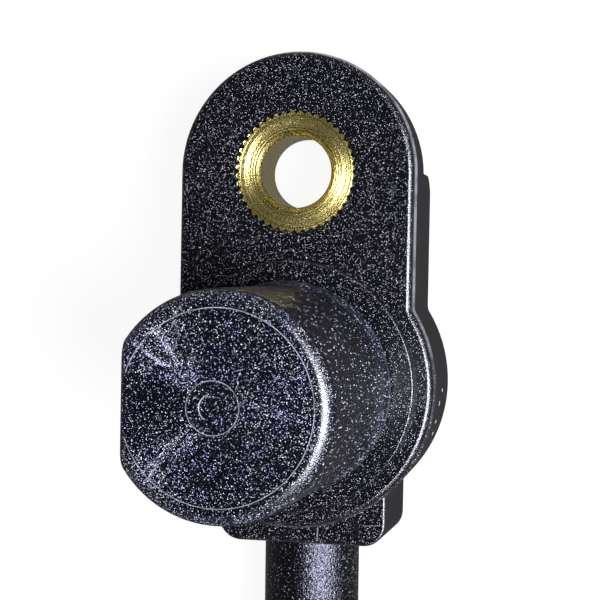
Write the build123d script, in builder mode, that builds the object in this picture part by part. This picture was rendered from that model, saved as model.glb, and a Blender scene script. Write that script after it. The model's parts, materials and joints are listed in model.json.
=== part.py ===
from build123d import *
import math
import os

# Camshaft position sensor with a fixed cable, in millimetres. The frame has its origin on the barrel axis
# in the plane of the flange face that seats on the engine. +Z runs along the barrel to its tip, +Y runs
# from the barrel to the bolt hole, and the cable leaves towards -Y. The part lies on its flat back.

# Barrel with its land, relieved stretch, side flat and seal groove
BARREL_R = 9.0
BARREL_TIP = 25.0
BARREL_RELIEF = 0.05
RIM_R = 1.15
FLAT_RIM_R = 0.45
FLAT_DEPTH = 1.45
FLAT_START = 7.0
COLLAR_STEP = 2.15
COLLAR_H = 1.2
COLLAR_EDGE_R = 0.2
RING_SECTION = 2.4
RING_PROUD = 0.35
RING_SIDE_GAP = 0.4
RING_FIT = 0.05
WITNESS_IN = 1.5
WITNESS_W = 0.12
WITNESS_H = 0.07
GATE_R = 2.05
GATE_W = 0.09
GATE_H = 0.05
GATE_OFF_X = -0.28

# Flange, ear and back body
FLANGE_MARGIN = 1.45
EAR_R = 10.55
BOLT_SPACING = 19.0
PLATE_T = 1.1
PLATE_EDGE_R = 0.5
CORNER_R = 0.8
LEDGE = 0.2
EAR_T = 6.0
BODY_DEPTH = 12.0
BODY_PAST_BOLT = 0.2
SHOULDER_R = 3.0
DRAFT = 2.0
POCKET_R = 8.0
BACK_EDGE_R = 0.4

# Bushing in the ear
BOLT_HOLE_R = 3.2
BUSHING_R = 5.4
BUSHING_PROUD = 0.1
BUSHING_CHAMFER = 0.4
KNURL_COUNT = 44
KNURL_DEPTH = 0.3
INSERT_FIT = 0.02

# Cable and the block that it leaves
CABLE_D = 8.7
EXIT_X = 0.7
BLOCK_COVER = 0.65
BLOCK_SIDE = 3.3
BLOCK_END_Y = -14.3
BLOCK_CORNER_R = 2.0
BLOCK_EDGE_R = 0.25
GRIP_LENGTH = 3.5
PAD_W = 3.15
PAD_H = 0.2
PAD_EDGE_R = 0.08

# Space inside the moulding and the insert that fills it
GROOVE_WALL = 1.3
TIP_WALL = 1.2
BACK_WALL = 1.2
CHAMBER_HALF_W = 4.4
CHAMBER_ABOVE = 3.8
TONGUE_BELOW = 0.6
INNER_GAP = 0.05
CUT_MARGIN = 1.0

# Sensing parts at the tip
CHIP_EDGE = 0.05
CHIP_T = 1.5
CHIP_CHAMFER = 0.25
MAGNET_L = 5.0
MAGNET_TO_LEAD = 0.8
POLE_T = 0.8
MAGNET_CHAMFER = 0.3

# Lead strips, splices and cores
LEAD_PITCH = 2.2
LEAD_W = 0.7
LEAD_T = 0.4
LEAD_RUN = 1.75
LEAD_BEND_R = 0.6
SPLICE_R = 1.0
SPLICE_BORE_R = 0.5
SPLICE_L = 3.0
SPLICE_CHAMFER = 0.15
SPLICE_BED_LEAD = 0.6
CORE_R = 0.9
CORE_SHOWN = 1.8
STRAND_R = 0.45
STRAND_SHOWN = 3.5
LEAD_FOOT_GAP = 3.6
CAPACITOR_T = 0.72
CAPACITOR_H = 2.0
CAPACITOR_Z = 6.0
CAPACITOR_CHAMFER = 0.1

# Coil of the stored cable and its tie
COIL_R = 47.5
COIL_ENTRY_X = 3.0
COIL_Y = -77.0
TURN_GAP = 0.5
TIE_T = 1.1
TIE_GAP = 0.15
TIE_W = 4.6
TIE_HEAD_W = 6.2
TIE_HEAD_H = 7.0
TIE_HEAD_T = 3.6
TIE_HEAD_R = 0.6

# Connector on the free end, built outwards from its pins
PIN_PITCH = 4.0
PIN_CAVITY_R = 1.3
PIN_W = 1.5
PIN_T = 0.8
PIN_SET_BACK = 5.0
PIN_BODY_W = 1.8
PIN_BODY_H = 1.5
PIN_CHAMFER = 0.25
PIN_ROOT = 1.5
CRIMP_L = 3.4
CRIMP_GAP = 0.6
SEAL_SIDE = 2.05
SEAL_H = 5.3
SEAL_L = 5.0
SEAL_R = 2.55
SPREAD_BEND_R = 4.0
SPREAD_STRAIGHT = 1.6
NECK_WALL = 0.75
NECK_WALL_H = 1.15
NECK_R = 3.7
NECK_L = 6.8
NECK_START = 9.2
REAR_STEP = 1.9
REAR_R = 3.0
REAR_L = 13.0
SHROUD_STEP = 1.2
SHROUD_R = 4.0
SHROUD_WALL = 1.6
SHROUD_L = 17.0
SOCKET_DEPTH = 15.0
RAMP_W = 6.0
RAMP_L = 6.0
RAMP_H = 1.5
RAMP_SET_BACK = 5.0
RAIL_PITCH = 9.6
RAIL_W = 1.2
RAIL_H = 1.2
RAIL_END_GAP = 1.0
LOCK_T = 2.6
LOCK_SIDE = 2.2
BOOT_WALL = 1.4
BOOT_GRIP = 12.5
BOOT_CABLE_WALL = 1.1
BOOT_SWELL = 0.5
BOOT_LAP = 1.0
RIB_COUNT = 4
RIB_W = 1.2
RIB_H = 0.5
CONNECTOR_SIDESTEP = 2.5

# Places and sizes worked out from the ones above
FLOOR_Z = -BODY_DEPTH
BODY_END_Y = BOLT_SPACING + BODY_PAST_BOLT
CABLE_R = CABLE_D / 2
EXIT_Z = FLOOR_Z + BLOCK_COVER + CABLE_R
BLOCK_FRONT_Z = EXIT_Z + CABLE_R + BLOCK_COVER
BLOCK_HALF_W = CABLE_R + BLOCK_SIDE
FLAT_X = BARREL_R - FLAT_DEPTH
COLLAR_R = BARREL_R + COLLAR_STEP
FLANGE_R = COLLAR_R + FLANGE_MARGIN
RING_BORE_R = BARREL_R + RING_PROUD - RING_SECTION
RING_MID_R = RING_BORE_R + RING_SECTION / 2
RING_Z = COLLAR_H + RING_SIDE_GAP / 4 + RING_SECTION / 2
GROOVE_W = RING_SECTION + RING_SIDE_GAP
GROOVE_FLOOR_R = RING_BORE_R - RING_FIT
WITNESS_R = BARREL_R - WITNESS_IN
CAVITY_R = GROOVE_FLOOR_R - GROOVE_WALL
CAVITY_TOP = BARREL_TIP - TIP_WALL
CHAMBER_FLOOR = FLOOR_Z + BACK_WALL
CHAMBER_TOP = EXIT_Z + CHAMBER_ABOVE
CHIP_W = 2 * (LEAD_PITCH + CHIP_EDGE) + LEAD_W
CHIP_TOP = CAVITY_TOP - 2 * INNER_GAP
CHIP_FLOOR = CHIP_TOP - CHIP_T
SHEATH_END_Y = BLOCK_END_Y + GRIP_LENGTH
CHAMBER_END_Y = SHEATH_END_Y
STEM_R = CAVITY_R - INNER_GAP
STEM_FLOOR = CHAMBER_FLOOR + INNER_GAP
STEM_TOP = CAVITY_TOP - INNER_GAP
TONGUE_TOP = EXIT_Z - TONGUE_BELOW
LEAD_Y = CAPACITOR_T + INNER_GAP + LEAD_T / 2 - math.sqrt((STEM_R + INNER_GAP / 2) ** 2 - (CHIP_W / 2) ** 2)
CHIP_L = 2 * (-LEAD_Y - LEAD_RUN)
MAGNET_R = -LEAD_Y - LEAD_T / 2 - MAGNET_TO_LEAD
FOOT_END_Y = SHEATH_END_Y + LEAD_FOOT_GAP
STRAND_END_Y = SHEATH_END_Y + STRAND_SHOWN
INSULATION_END_Y = SHEATH_END_Y + CORE_SHOWN
SPLICE_START_Y = INSULATION_END_Y + INNER_GAP
LEVEL_1 = FLOOR_Z + TIE_T + TIE_GAP + CABLE_R
LEVEL_RISE = CABLE_D + TURN_GAP
LEVEL_2 = LEVEL_1 + LEVEL_RISE
COIL_X = COIL_ENTRY_X - COIL_R
TAIL_X = COIL_X - COIL_R
SEAL_W = 2 * (PIN_PITCH + SEAL_SIDE)
LOCK_W = 2 * (PIN_PITCH + LOCK_SIDE)
NECK_W = SEAL_W + 2 * NECK_WALL
NECK_H = SEAL_H + 2 * NECK_WALL_H
REAR_W = NECK_W + 2 * REAR_STEP
REAR_H = NECK_H + 2 * REAR_STEP
SHROUD_W = REAR_W + 2 * SHROUD_STEP
SHROUD_H = REAR_H + 2 * SHROUD_STEP
CONNECTOR_X = TAIL_X - CONNECTOR_SIDESTEP
CONNECTOR_Z = FLOOR_Z + SHROUD_H / 2
REAR_START = NECK_START + NECK_L
SHROUD_START = REAR_START + REAR_L
MOUTH = SHROUD_START + SHROUD_L
SOCKET_FLOOR = MOUTH - SOCKET_DEPTH
LOCK_MID = REAR_START + REAR_L / 2
CRIMP_START = NECK_START + SEAL_L + CRIMP_GAP
WIRES = {"supply": -1, "signal": 0, "ground": 1}

# Routes of the two free stretches of the cable, chosen by hand
LEAD_ROUTE = [
    (EXIT_X, SHEATH_END_Y - INNER_GAP, EXIT_Z),
    (EXIT_X, -31.0, EXIT_Z),
    (2.0, -47.5, (EXIT_Z + LEVEL_1) / 2),
    (COIL_ENTRY_X, -62.5, LEVEL_1),
    (COIL_ENTRY_X, COIL_Y, LEVEL_1),
]
TAIL_ROUTE = [
    (TAIL_X, COIL_Y, LEVEL_2),
    (TAIL_X, COIL_Y + 2.2 * CABLE_D, LEVEL_2),
    (CONNECTOR_X, COIL_Y + 5.2 * CABLE_D, CONNECTOR_Z),
    (CONNECTOR_X, COIL_Y + 7.9 * CABLE_D, CONNECTOR_Z),
]
TAIL_END_Y = TAIL_ROUTE[-1][1]


def bend_radii(route):
    """Give each corner an arc as large as the shorter of its two runs allows."""
    radii = []
    for before, here, after in zip(route, route[1:], route[2:]):
        run_in = Vector(*here) - Vector(*before)
        run_out = Vector(*after) - Vector(*here)
        half_turn = math.radians(run_in.get_angle(run_out)) / 2
        radii.append(0.45 * min(run_in.length, run_out.length) / math.tan(half_turn))
    return radii


def keyhole(outline, margin=0.0):
    """Draw flange, web and ear in the open sketch, grown by a margin, with rounded inner corners."""
    Circle(FLANGE_R + margin)
    with Locations((0, BOLT_SPACING)):
        Circle(EAR_R + margin)
    with Locations((0, BOLT_SPACING / 2)):
        Rectangle(2 * (EAR_R + margin), BOLT_SPACING)
    fillet(outline.vertices().filter_by(lambda v: 0 < v.Y < BOLT_SPACING / 2), CORNER_R)


def station(distance):
    """Give the plane across the connector at a distance past the cable's end."""
    return Plane(
        origin=(CONNECTOR_X, TAIL_END_Y + distance, CONNECTOR_Z),
        x_dir=(-1, 0, 0),
        z_dir=(0, 1, 0),
    )


def finish(sub_part, name):
    """Label a finished piece and write it to its own file."""
    sub_part.part.label = name
    export_step(sub_part.part, f"parts/{name}.step")


os.makedirs("parts", exist_ok=True)

# Housing: one moulding of barrel, collar, flange, ear, back body and cable block
with BuildPart() as housing:
    with BuildSketch(Plane.XY.offset(-PLATE_T)) as front_outline:
        keyhole(front_outline)
    extrude(amount=PLATE_T)
    fillet(housing.faces().sort_by(Axis.Z)[-1].edges(), PLATE_EDGE_R)

    # Drafted body behind the parting ledge
    with BuildSketch(Plane.XY.offset(-PLATE_T)) as body_outline:
        keyhole(body_outline, LEDGE)
    extrude(amount=-(BODY_DEPTH - PLATE_T), taper=DRAFT)
    fillet(housing.faces().sort_by(Axis.Z)[0].edges(), BACK_EDGE_R)

    # The ear is thin over the bolt head's round pocket and beyond the body's rounded shoulder
    with BuildSketch(Plane.XY.offset(FLOOR_Z)):
        with Locations((0, BOLT_SPACING)):
            Circle(POCKET_R)
    extrude(amount=BODY_DEPTH - EAR_T, mode=Mode.SUBTRACT)
    with BuildSketch(Plane.YZ):
        with BuildLine():
            shoulder = CenterArc((BODY_END_Y - SHOULDER_R, FLOOR_Z + SHOULDER_R), SHOULDER_R, -90, 90)
            Polyline(
                shoulder @ 1,
                (BODY_END_Y, -EAR_T),
                (BODY_END_Y + 2 * EAR_R, -EAR_T),
                (BODY_END_Y + 2 * EAR_R, FLOOR_Z - CUT_MARGIN),
                (BODY_END_Y - SHOULDER_R, FLOOR_Z - CUT_MARGIN),
                shoulder @ 0,
            )
        make_face()
    extrude(amount=2 * EAR_R, both=True, mode=Mode.SUBTRACT)

    # Cable block, set back from the flange face
    with BuildSketch(Plane.XY.offset(FLOOR_Z)) as block_outline:
        with Locations((EXIT_X, BLOCK_END_Y / 2)):
            Rectangle(2 * BLOCK_HALF_W, -BLOCK_END_Y)
        fillet(block_outline.vertices().group_by(Axis.Y)[0], BLOCK_CORNER_R)
    extrude(amount=BLOCK_FRONT_Z - FLOOR_Z)
    block_rim = housing.edges().filter_by(
        lambda e: abs(e.center().Z - BLOCK_FRONT_Z) < 0.01 and e.center().Y < -BARREL_R
    )
    inner_arc = block_rim.sort_by(lambda e: abs(e.center().X - EXIT_X) + abs(e.center().Y + FLANGE_R))[0]
    fillet(block_rim - [inner_arc], BLOCK_EDGE_R)

    # Low pad over the cable, from the flange to the block's rounded end
    with BuildSketch(Plane.XY.offset(BLOCK_FRONT_Z)):
        with Locations((EXIT_X, BLOCK_END_Y + BLOCK_EDGE_R)):
            Rectangle(PAD_W, -COLLAR_R - BLOCK_END_Y - BLOCK_EDGE_R, align=(Align.CENTER, Align.MIN))
    extrude(amount=PAD_H)
    pad_rim = housing.edges().filter_by(
        lambda e: abs(e.center().Z - BLOCK_FRONT_Z - PAD_H) < 0.01 and e.center().Y < -FLANGE_R - 2 * LEDGE
    )
    fillet(pad_rim, PAD_EDGE_R)

    # Collar, seal groove and barrel as one turned profile
    with BuildSketch(Plane.XZ) as barrel_profile:
        with BuildLine():
            Polyline(
                (0, -PLATE_T),
                (COLLAR_R, -PLATE_T),
                (COLLAR_R, COLLAR_H),
                (GROOVE_FLOOR_R, COLLAR_H),
                (GROOVE_FLOOR_R, COLLAR_H + GROOVE_W),
                (BARREL_R, COLLAR_H + GROOVE_W),
                (BARREL_R, FLAT_START),
                (BARREL_R - BARREL_RELIEF, FLAT_START),
                (BARREL_R - BARREL_RELIEF, BARREL_TIP),
                (0, BARREL_TIP),
                close=True,
            )
        make_face()
        collar_corner = barrel_profile.vertices().filter_by(
            lambda v: abs(v.X - COLLAR_R) < 0.01 and v.Y > 0
        )
        fillet(collar_corner, COLLAR_EDGE_R)
        rim_corner = barrel_profile.vertices().filter_by(lambda v: v.X > 1 and abs(v.Y - BARREL_TIP) < 0.01)
        fillet(rim_corner, RIM_R)
    revolve(axis=Axis.Z)

    # Flat along one side of the barrel, with a smaller rounding at the tip than the turned rim
    with BuildSketch(Plane.XY.offset(FLAT_START)):
        with Locations((-FLAT_X - BARREL_R / 2, 0)):
            Rectangle(BARREL_R, 2 * BARREL_R)
    extrude(amount=BARREL_TIP - FLAT_START, mode=Mode.SUBTRACT)
    flat_top = housing.faces().sort_by(Axis.Z)[-1].edges().sort_by(Axis.X)[0]
    fillet(flat_top, FLAT_RIM_R)

    # Witness line and gate mark, two fine raised rings on the tip
    with BuildSketch(Plane.XY.offset(BARREL_TIP)):
        Circle(WITNESS_R + WITNESS_W / 2)
        Circle(WITNESS_R - WITNESS_W / 2, mode=Mode.SUBTRACT)
        with Locations((-FLAT_X, 0)):
            Rectangle(2 * FLAT_RIM_R, 2 * BARREL_R, mode=Mode.SUBTRACT)
    extrude(amount=WITNESS_H)
    with BuildSketch(Plane.XY.offset(BARREL_TIP)):
        with Locations((GATE_OFF_X, 0)):
            Circle(GATE_R + GATE_W / 2)
            Circle(GATE_R - GATE_W / 2, mode=Mode.SUBTRACT)
    extrude(amount=GATE_H)

    # Seat of the bushing
    with BuildSketch(Plane.XY.offset(-BODY_DEPTH)):
        with Locations((0, BOLT_SPACING)):
            Circle(BUSHING_R + INSERT_FIT)
    extrude(amount=2 * BODY_DEPTH, mode=Mode.SUBTRACT)

    # Space for the insert: bore up the barrel, chamber in the body, hole for the cable
    with BuildSketch(Plane.XY.offset(CHAMBER_FLOOR)):
        Circle(CAVITY_R)
    extrude(amount=CAVITY_TOP - CHAMBER_FLOOR, mode=Mode.SUBTRACT)
    with BuildSketch(Plane.XY.offset(CHAMBER_FLOOR)):
        with Locations((0, CHAMBER_END_Y / 2)):
            Rectangle(2 * CHAMBER_HALF_W, -CHAMBER_END_Y)
    extrude(amount=CHAMBER_TOP - CHAMBER_FLOOR, mode=Mode.SUBTRACT)
    with BuildSketch(Plane.XZ.offset(-CHAMBER_END_Y - INNER_GAP)):
        with Locations((EXIT_X, EXIT_Z)):
            Circle(CABLE_R + INNER_GAP)
    extrude(amount=GRIP_LENGTH + CUT_MARGIN, mode=Mode.SUBTRACT)
finish(housing, "housing")

# Bushing: brass compression limiter with a straight knurl
with BuildPart() as bushing:
    with BuildSketch(Plane.XY.offset(-EAR_T)) as bushing_outline:
        with Locations((0, BOLT_SPACING)):
            Circle(BUSHING_R)
            with PolarLocations(BUSHING_R, KNURL_COUNT):
                notch = math.sqrt(2) * KNURL_DEPTH
                Rectangle(notch, notch, rotation=45, mode=Mode.SUBTRACT)
            Circle(BOLT_HOLE_R, mode=Mode.SUBTRACT)
    extrude(amount=EAR_T + BUSHING_PROUD)
    rims = bushing.edges().filter_by(GeomType.CIRCLE)
    chamfer(rims.filter_by(lambda e: abs(e.radius - BOLT_HOLE_R) < 0.01), BUSHING_CHAMFER)
finish(bushing, "bushing")

# Seal ring in its groove against the collar
with BuildPart() as o_ring:
    with BuildSketch(Plane.XZ):
        with Locations((RING_MID_R, RING_Z)):
            Circle(RING_SECTION / 2)
    revolve(axis=Axis.Z)
finish(o_ring, "o_ring")

# Insert that carries the chip, magnet and leads, with a tongue under the splices
with BuildPart() as sensor_carrier:
    with BuildSketch(Plane.XY.offset(STEM_FLOOR)):
        Circle(STEM_R)
    extrude(amount=STEM_TOP - STEM_FLOOR)
    with BuildSketch(Plane.XY.offset(STEM_FLOOR)):
        with Locations((0, (CHAMBER_END_Y + INNER_GAP) / 2)):
            Rectangle(2 * (CHAMBER_HALF_W - INNER_GAP), -(CHAMBER_END_Y + INNER_GAP))
    extrude(amount=TONGUE_TOP - STEM_FLOOR)

    # Pockets for the chip and for the magnet with its pole piece
    with BuildSketch(Plane.XY.offset(CHIP_FLOOR - INNER_GAP)):
        Rectangle(CHIP_W + 2 * INNER_GAP, CHIP_L + 2 * INNER_GAP)
    extrude(amount=STEM_TOP - CHIP_FLOOR + CUT_MARGIN, mode=Mode.SUBTRACT)
    with BuildSketch(Plane.XY.offset(CHIP_FLOOR - INNER_GAP)):
        Circle(MAGNET_R + INNER_GAP)
    extrude(amount=-(POLE_T + MAGNET_L + 2 * INNER_GAP), mode=Mode.SUBTRACT)

    # Slots that the lead strips lie in, open towards -Y, and the capacitor's notch
    with BuildSketch(Plane.XY.offset(EXIT_Z - LEAD_T / 2 - INNER_GAP)):
        with GridLocations(LEAD_PITCH, 0, len(WIRES), 1):
            with Locations((0, (LEAD_Y + LEAD_T / 2 + INNER_GAP - STEM_R) / 2)):
                Rectangle(LEAD_W + 2 * INNER_GAP, STEM_R + LEAD_Y + LEAD_T / 2 + INNER_GAP)
    extrude(amount=STEM_TOP - EXIT_Z + LEAD_T, mode=Mode.SUBTRACT)
    with BuildSketch(Plane.XY.offset(CHIP_FLOOR - INNER_GAP)):
        with GridLocations(LEAD_PITCH, 0, len(WIRES), 1):
            with Locations((0, LEAD_Y / 2)):
                Rectangle(LEAD_W + 2 * INNER_GAP, -LEAD_Y)
    extrude(amount=STEM_TOP - CHIP_FLOOR + CUT_MARGIN, mode=Mode.SUBTRACT)
    with BuildSketch(Plane.XY.offset(CAPACITOR_Z - CAPACITOR_H / 2 - INNER_GAP)):
        with Locations((0, LEAD_Y - LEAD_T / 2 - STEM_R / 2)):
            Rectangle(2 * LEAD_PITCH + LEAD_W + 2 * INNER_GAP, STEM_R)
    extrude(amount=CAPACITOR_H + 2 * INNER_GAP, mode=Mode.SUBTRACT)

    # Round beds for the splices and cores in the tongue
    with BuildSketch(Plane.XZ.offset(STEM_R - SPLICE_BED_LEAD)):
        with Locations((0, EXIT_Z)):
            with GridLocations(LEAD_PITCH, 0, len(WIRES), 1):
                Circle(SPLICE_R + INNER_GAP)
    extrude(amount=-CHAMBER_END_Y - STEM_R + SPLICE_BED_LEAD + CUT_MARGIN, mode=Mode.SUBTRACT)
finish(sensor_carrier, "sensor_carrier")

# Hall element lying flat behind the tip wall
with BuildPart() as hall_element:
    with BuildSketch(Plane.XY.offset(CHIP_FLOOR)):
        Rectangle(CHIP_W, CHIP_L)
    extrude(amount=CHIP_T)
    chamfer(hall_element.faces().sort_by(Axis.Z)[-1].edges(), CHIP_CHAMFER)
finish(hall_element, "hall_element")

# Pole piece and bias magnet stacked behind the hall element
with BuildPart() as pole_piece:
    with BuildSketch(Plane.XY.offset(CHIP_FLOOR - INNER_GAP)):
        Circle(MAGNET_R)
    extrude(amount=-POLE_T)
finish(pole_piece, "pole_piece")

with BuildPart() as bias_magnet:
    with BuildSketch(Plane.XY.offset(CHIP_FLOOR - 2 * INNER_GAP - POLE_T)):
        Circle(MAGNET_R)
    extrude(amount=-MAGNET_L)
    chamfer(bias_magnet.edges().filter_by(GeomType.CIRCLE), MAGNET_CHAMFER)
finish(bias_magnet, "bias_magnet")

# Lead strips: out of the hall element, down the stem and forward into the splices
for wire, place in WIRES.items():
    with BuildPart() as lead:
        with BuildSketch(Plane.YZ.offset(place * LEAD_PITCH)):
            with BuildLine():
                FilletPolyline(
                    (-CHIP_L / 2 - INNER_GAP, CHIP_FLOOR + CHIP_T / 2),
                    (LEAD_Y, CHIP_FLOOR + CHIP_T / 2),
                    (LEAD_Y, EXIT_Z),
                    (FOOT_END_Y, EXIT_Z),
                    radius=LEAD_BEND_R,
                )
            trace(line_width=LEAD_T)
        extrude(amount=LEAD_W / 2, both=True)
    finish(lead, f"lead_{wire}")

# Filter capacitor across the leads
with BuildPart() as filter_capacitor:
    with BuildSketch(Plane.XY.offset(CAPACITOR_Z - CAPACITOR_H / 2)):
        with Locations((0, LEAD_Y - LEAD_T / 2 - INNER_GAP - CAPACITOR_T / 2)):
            Rectangle(2 * LEAD_PITCH + LEAD_W, CAPACITOR_T)
    extrude(amount=CAPACITOR_H)
    chamfer(filter_capacitor.edges().filter_by(Axis.Z), CAPACITOR_CHAMFER)
finish(filter_capacitor, "filter_capacitor")

# Splices that join leads to cores, and the cores' ends between the splices and the sheath
for wire, place in WIRES.items():
    across = place * LEAD_PITCH
    with BuildPart() as splice:
        with BuildSketch(Plane.XZ.offset(-SPLICE_START_Y)):
            with Locations((across, EXIT_Z)):
                Circle(SPLICE_R)
                Circle(SPLICE_BORE_R, mode=Mode.SUBTRACT)
        extrude(amount=-SPLICE_L)
        outer_rims = splice.edges().filter_by(GeomType.CIRCLE).filter_by(lambda e: e.radius > CORE_R)
        chamfer(outer_rims, SPLICE_CHAMFER)
    finish(splice, f"splice_{wire}")

    with BuildPart() as core:
        with BuildSketch(Plane.XZ.offset(-SHEATH_END_Y)):
            with Locations((across, EXIT_Z)):
                Circle(CORE_R)
        extrude(amount=SHEATH_END_Y - INSULATION_END_Y)
        with BuildSketch(Plane.XZ.offset(-SHEATH_END_Y)):
            with Locations((across, EXIT_Z)):
                Circle(STRAND_R)
        extrude(amount=SHEATH_END_Y - STRAND_END_Y)
    finish(core, f"core_{wire}")

# Cable from inside the block to the coil
with BuildPart() as cable_lead:
    with BuildLine():
        FilletPolyline(*LEAD_ROUTE, radius=bend_radii(LEAD_ROUTE))
    with BuildSketch(Plane(origin=LEAD_ROUTE[0], x_dir=(1, 0, 0), z_dir=(0, -1, 0))):
        Circle(CABLE_R)
    sweep()
finish(cable_lead, "cable_lead")

# Coil: two turns on each other in its lower half, one rising turn in its upper half
with BuildPart() as cable_coil:
    level_mid = (LEVEL_1 + LEVEL_2) / 2
    with BuildSketch(Plane(origin=(COIL_ENTRY_X, COIL_Y, level_mid), x_dir=(1, 0, 0), z_dir=(0, -1, 0))):
        SlotCenterToCenter(LEVEL_RISE, CABLE_D, rotation=90)
    revolve(axis=Axis((COIL_X, COIL_Y, 0), (0, 0, -1)), revolution_arc=180)
    with BuildSketch(Plane(origin=(TAIL_X, COIL_Y, LEVEL_1), x_dir=(1, 0, 0), z_dir=(0, -1, 0))):
        Circle(CABLE_R)
    revolve(axis=Axis((COIL_X, COIL_Y, level_mid), (LEVEL_RISE, 0, -2 * COIL_R)), revolution_arc=180)
finish(cable_coil, "cable_coil")

# Cable from the coil down to the connector
with BuildPart() as cable_tail:
    with BuildLine():
        FilletPolyline(*TAIL_ROUTE, radius=bend_radii(TAIL_ROUTE))
    with BuildSketch(Plane(origin=TAIL_ROUTE[0], x_dir=(1, 0, 0), z_dir=(0, 1, 0))):
        Circle(CABLE_R)
    sweep()
finish(cable_tail, "cable_tail")

# Tie around both turns at the coil's far side, with its head outside
with BuildPart() as cable_tie:
    tie_y = COIL_Y - COIL_R
    with BuildSketch(Plane.YZ.offset(COIL_X)):
        with Locations((tie_y, level_mid)):
            SlotCenterToCenter(LEVEL_RISE, CABLE_D + 2 * (TIE_GAP + TIE_T), rotation=90)
            with Locations((-CABLE_R - TIE_GAP - TIE_HEAD_T / 2, 0)):
                RectangleRounded(TIE_HEAD_T, TIE_HEAD_H, TIE_HEAD_R)
    extrude(amount=TIE_HEAD_W / 2, both=True)
    with BuildSketch(Plane.XY.offset(FLOOR_Z)):
        with Locations((COIL_X, tie_y)):
            Rectangle(TIE_W, 4 * CABLE_D)
        with Locations((COIL_X, tie_y - CABLE_R - TIE_GAP - TIE_HEAD_T / 2)):
            Rectangle(TIE_HEAD_W, TIE_HEAD_T)
    extrude(amount=2 * (CABLE_D + LEVEL_RISE), mode=Mode.INTERSECT)
    with BuildSketch(Plane.YZ.offset(COIL_X)):
        with Locations((tie_y, level_mid)):
            SlotCenterToCenter(LEVEL_RISE, CABLE_D + 2 * TIE_GAP, rotation=90)
    extrude(amount=TIE_HEAD_W, both=True, mode=Mode.SUBTRACT)
finish(cable_tie, "cable_tie")

# Boot over the cable's end and the connector's neck
with BuildPart() as connector_boot:
    sleeve_start = NECK_START - BOOT_LAP
    sleeve_end = NECK_START + NECK_L
    with BuildSketch(station(-BOOT_GRIP)):
        Circle(CABLE_R + BOOT_CABLE_WALL)
    with BuildSketch(station(0)):
        Circle(CABLE_R + BOOT_CABLE_WALL + BOOT_SWELL)
    loft()
    with BuildSketch(station(0)):
        Circle(CABLE_R + BOOT_CABLE_WALL + BOOT_SWELL)
    with BuildSketch(station(sleeve_start)):
        RectangleRounded(NECK_W + 2 * BOOT_WALL, NECK_H + 2 * BOOT_WALL, NECK_R + BOOT_WALL)
    loft()
    with BuildSketch(station(sleeve_start)):
        RectangleRounded(NECK_W + 2 * BOOT_WALL, NECK_H + 2 * BOOT_WALL, NECK_R + BOOT_WALL)
    extrude(amount=sleeve_end - sleeve_start)
    with BuildSketch(station(-BOOT_GRIP)):
        Circle(CABLE_R + INNER_GAP)
    extrude(amount=BOOT_GRIP, mode=Mode.SUBTRACT)
    with BuildSketch(station(0)):
        Circle(CABLE_R + INNER_GAP)
    with BuildSketch(station(sleeve_start)):
        RectangleRounded(NECK_W + 2 * INNER_GAP, NECK_H + 2 * INNER_GAP, NECK_R)
    loft(mode=Mode.SUBTRACT)
    with BuildSketch(station(sleeve_start)):
        RectangleRounded(NECK_W + 2 * INNER_GAP, NECK_H + 2 * INNER_GAP, NECK_R)
    extrude(amount=sleeve_end - sleeve_start, mode=Mode.SUBTRACT)
finish(connector_boot, "connector_boot")

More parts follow.
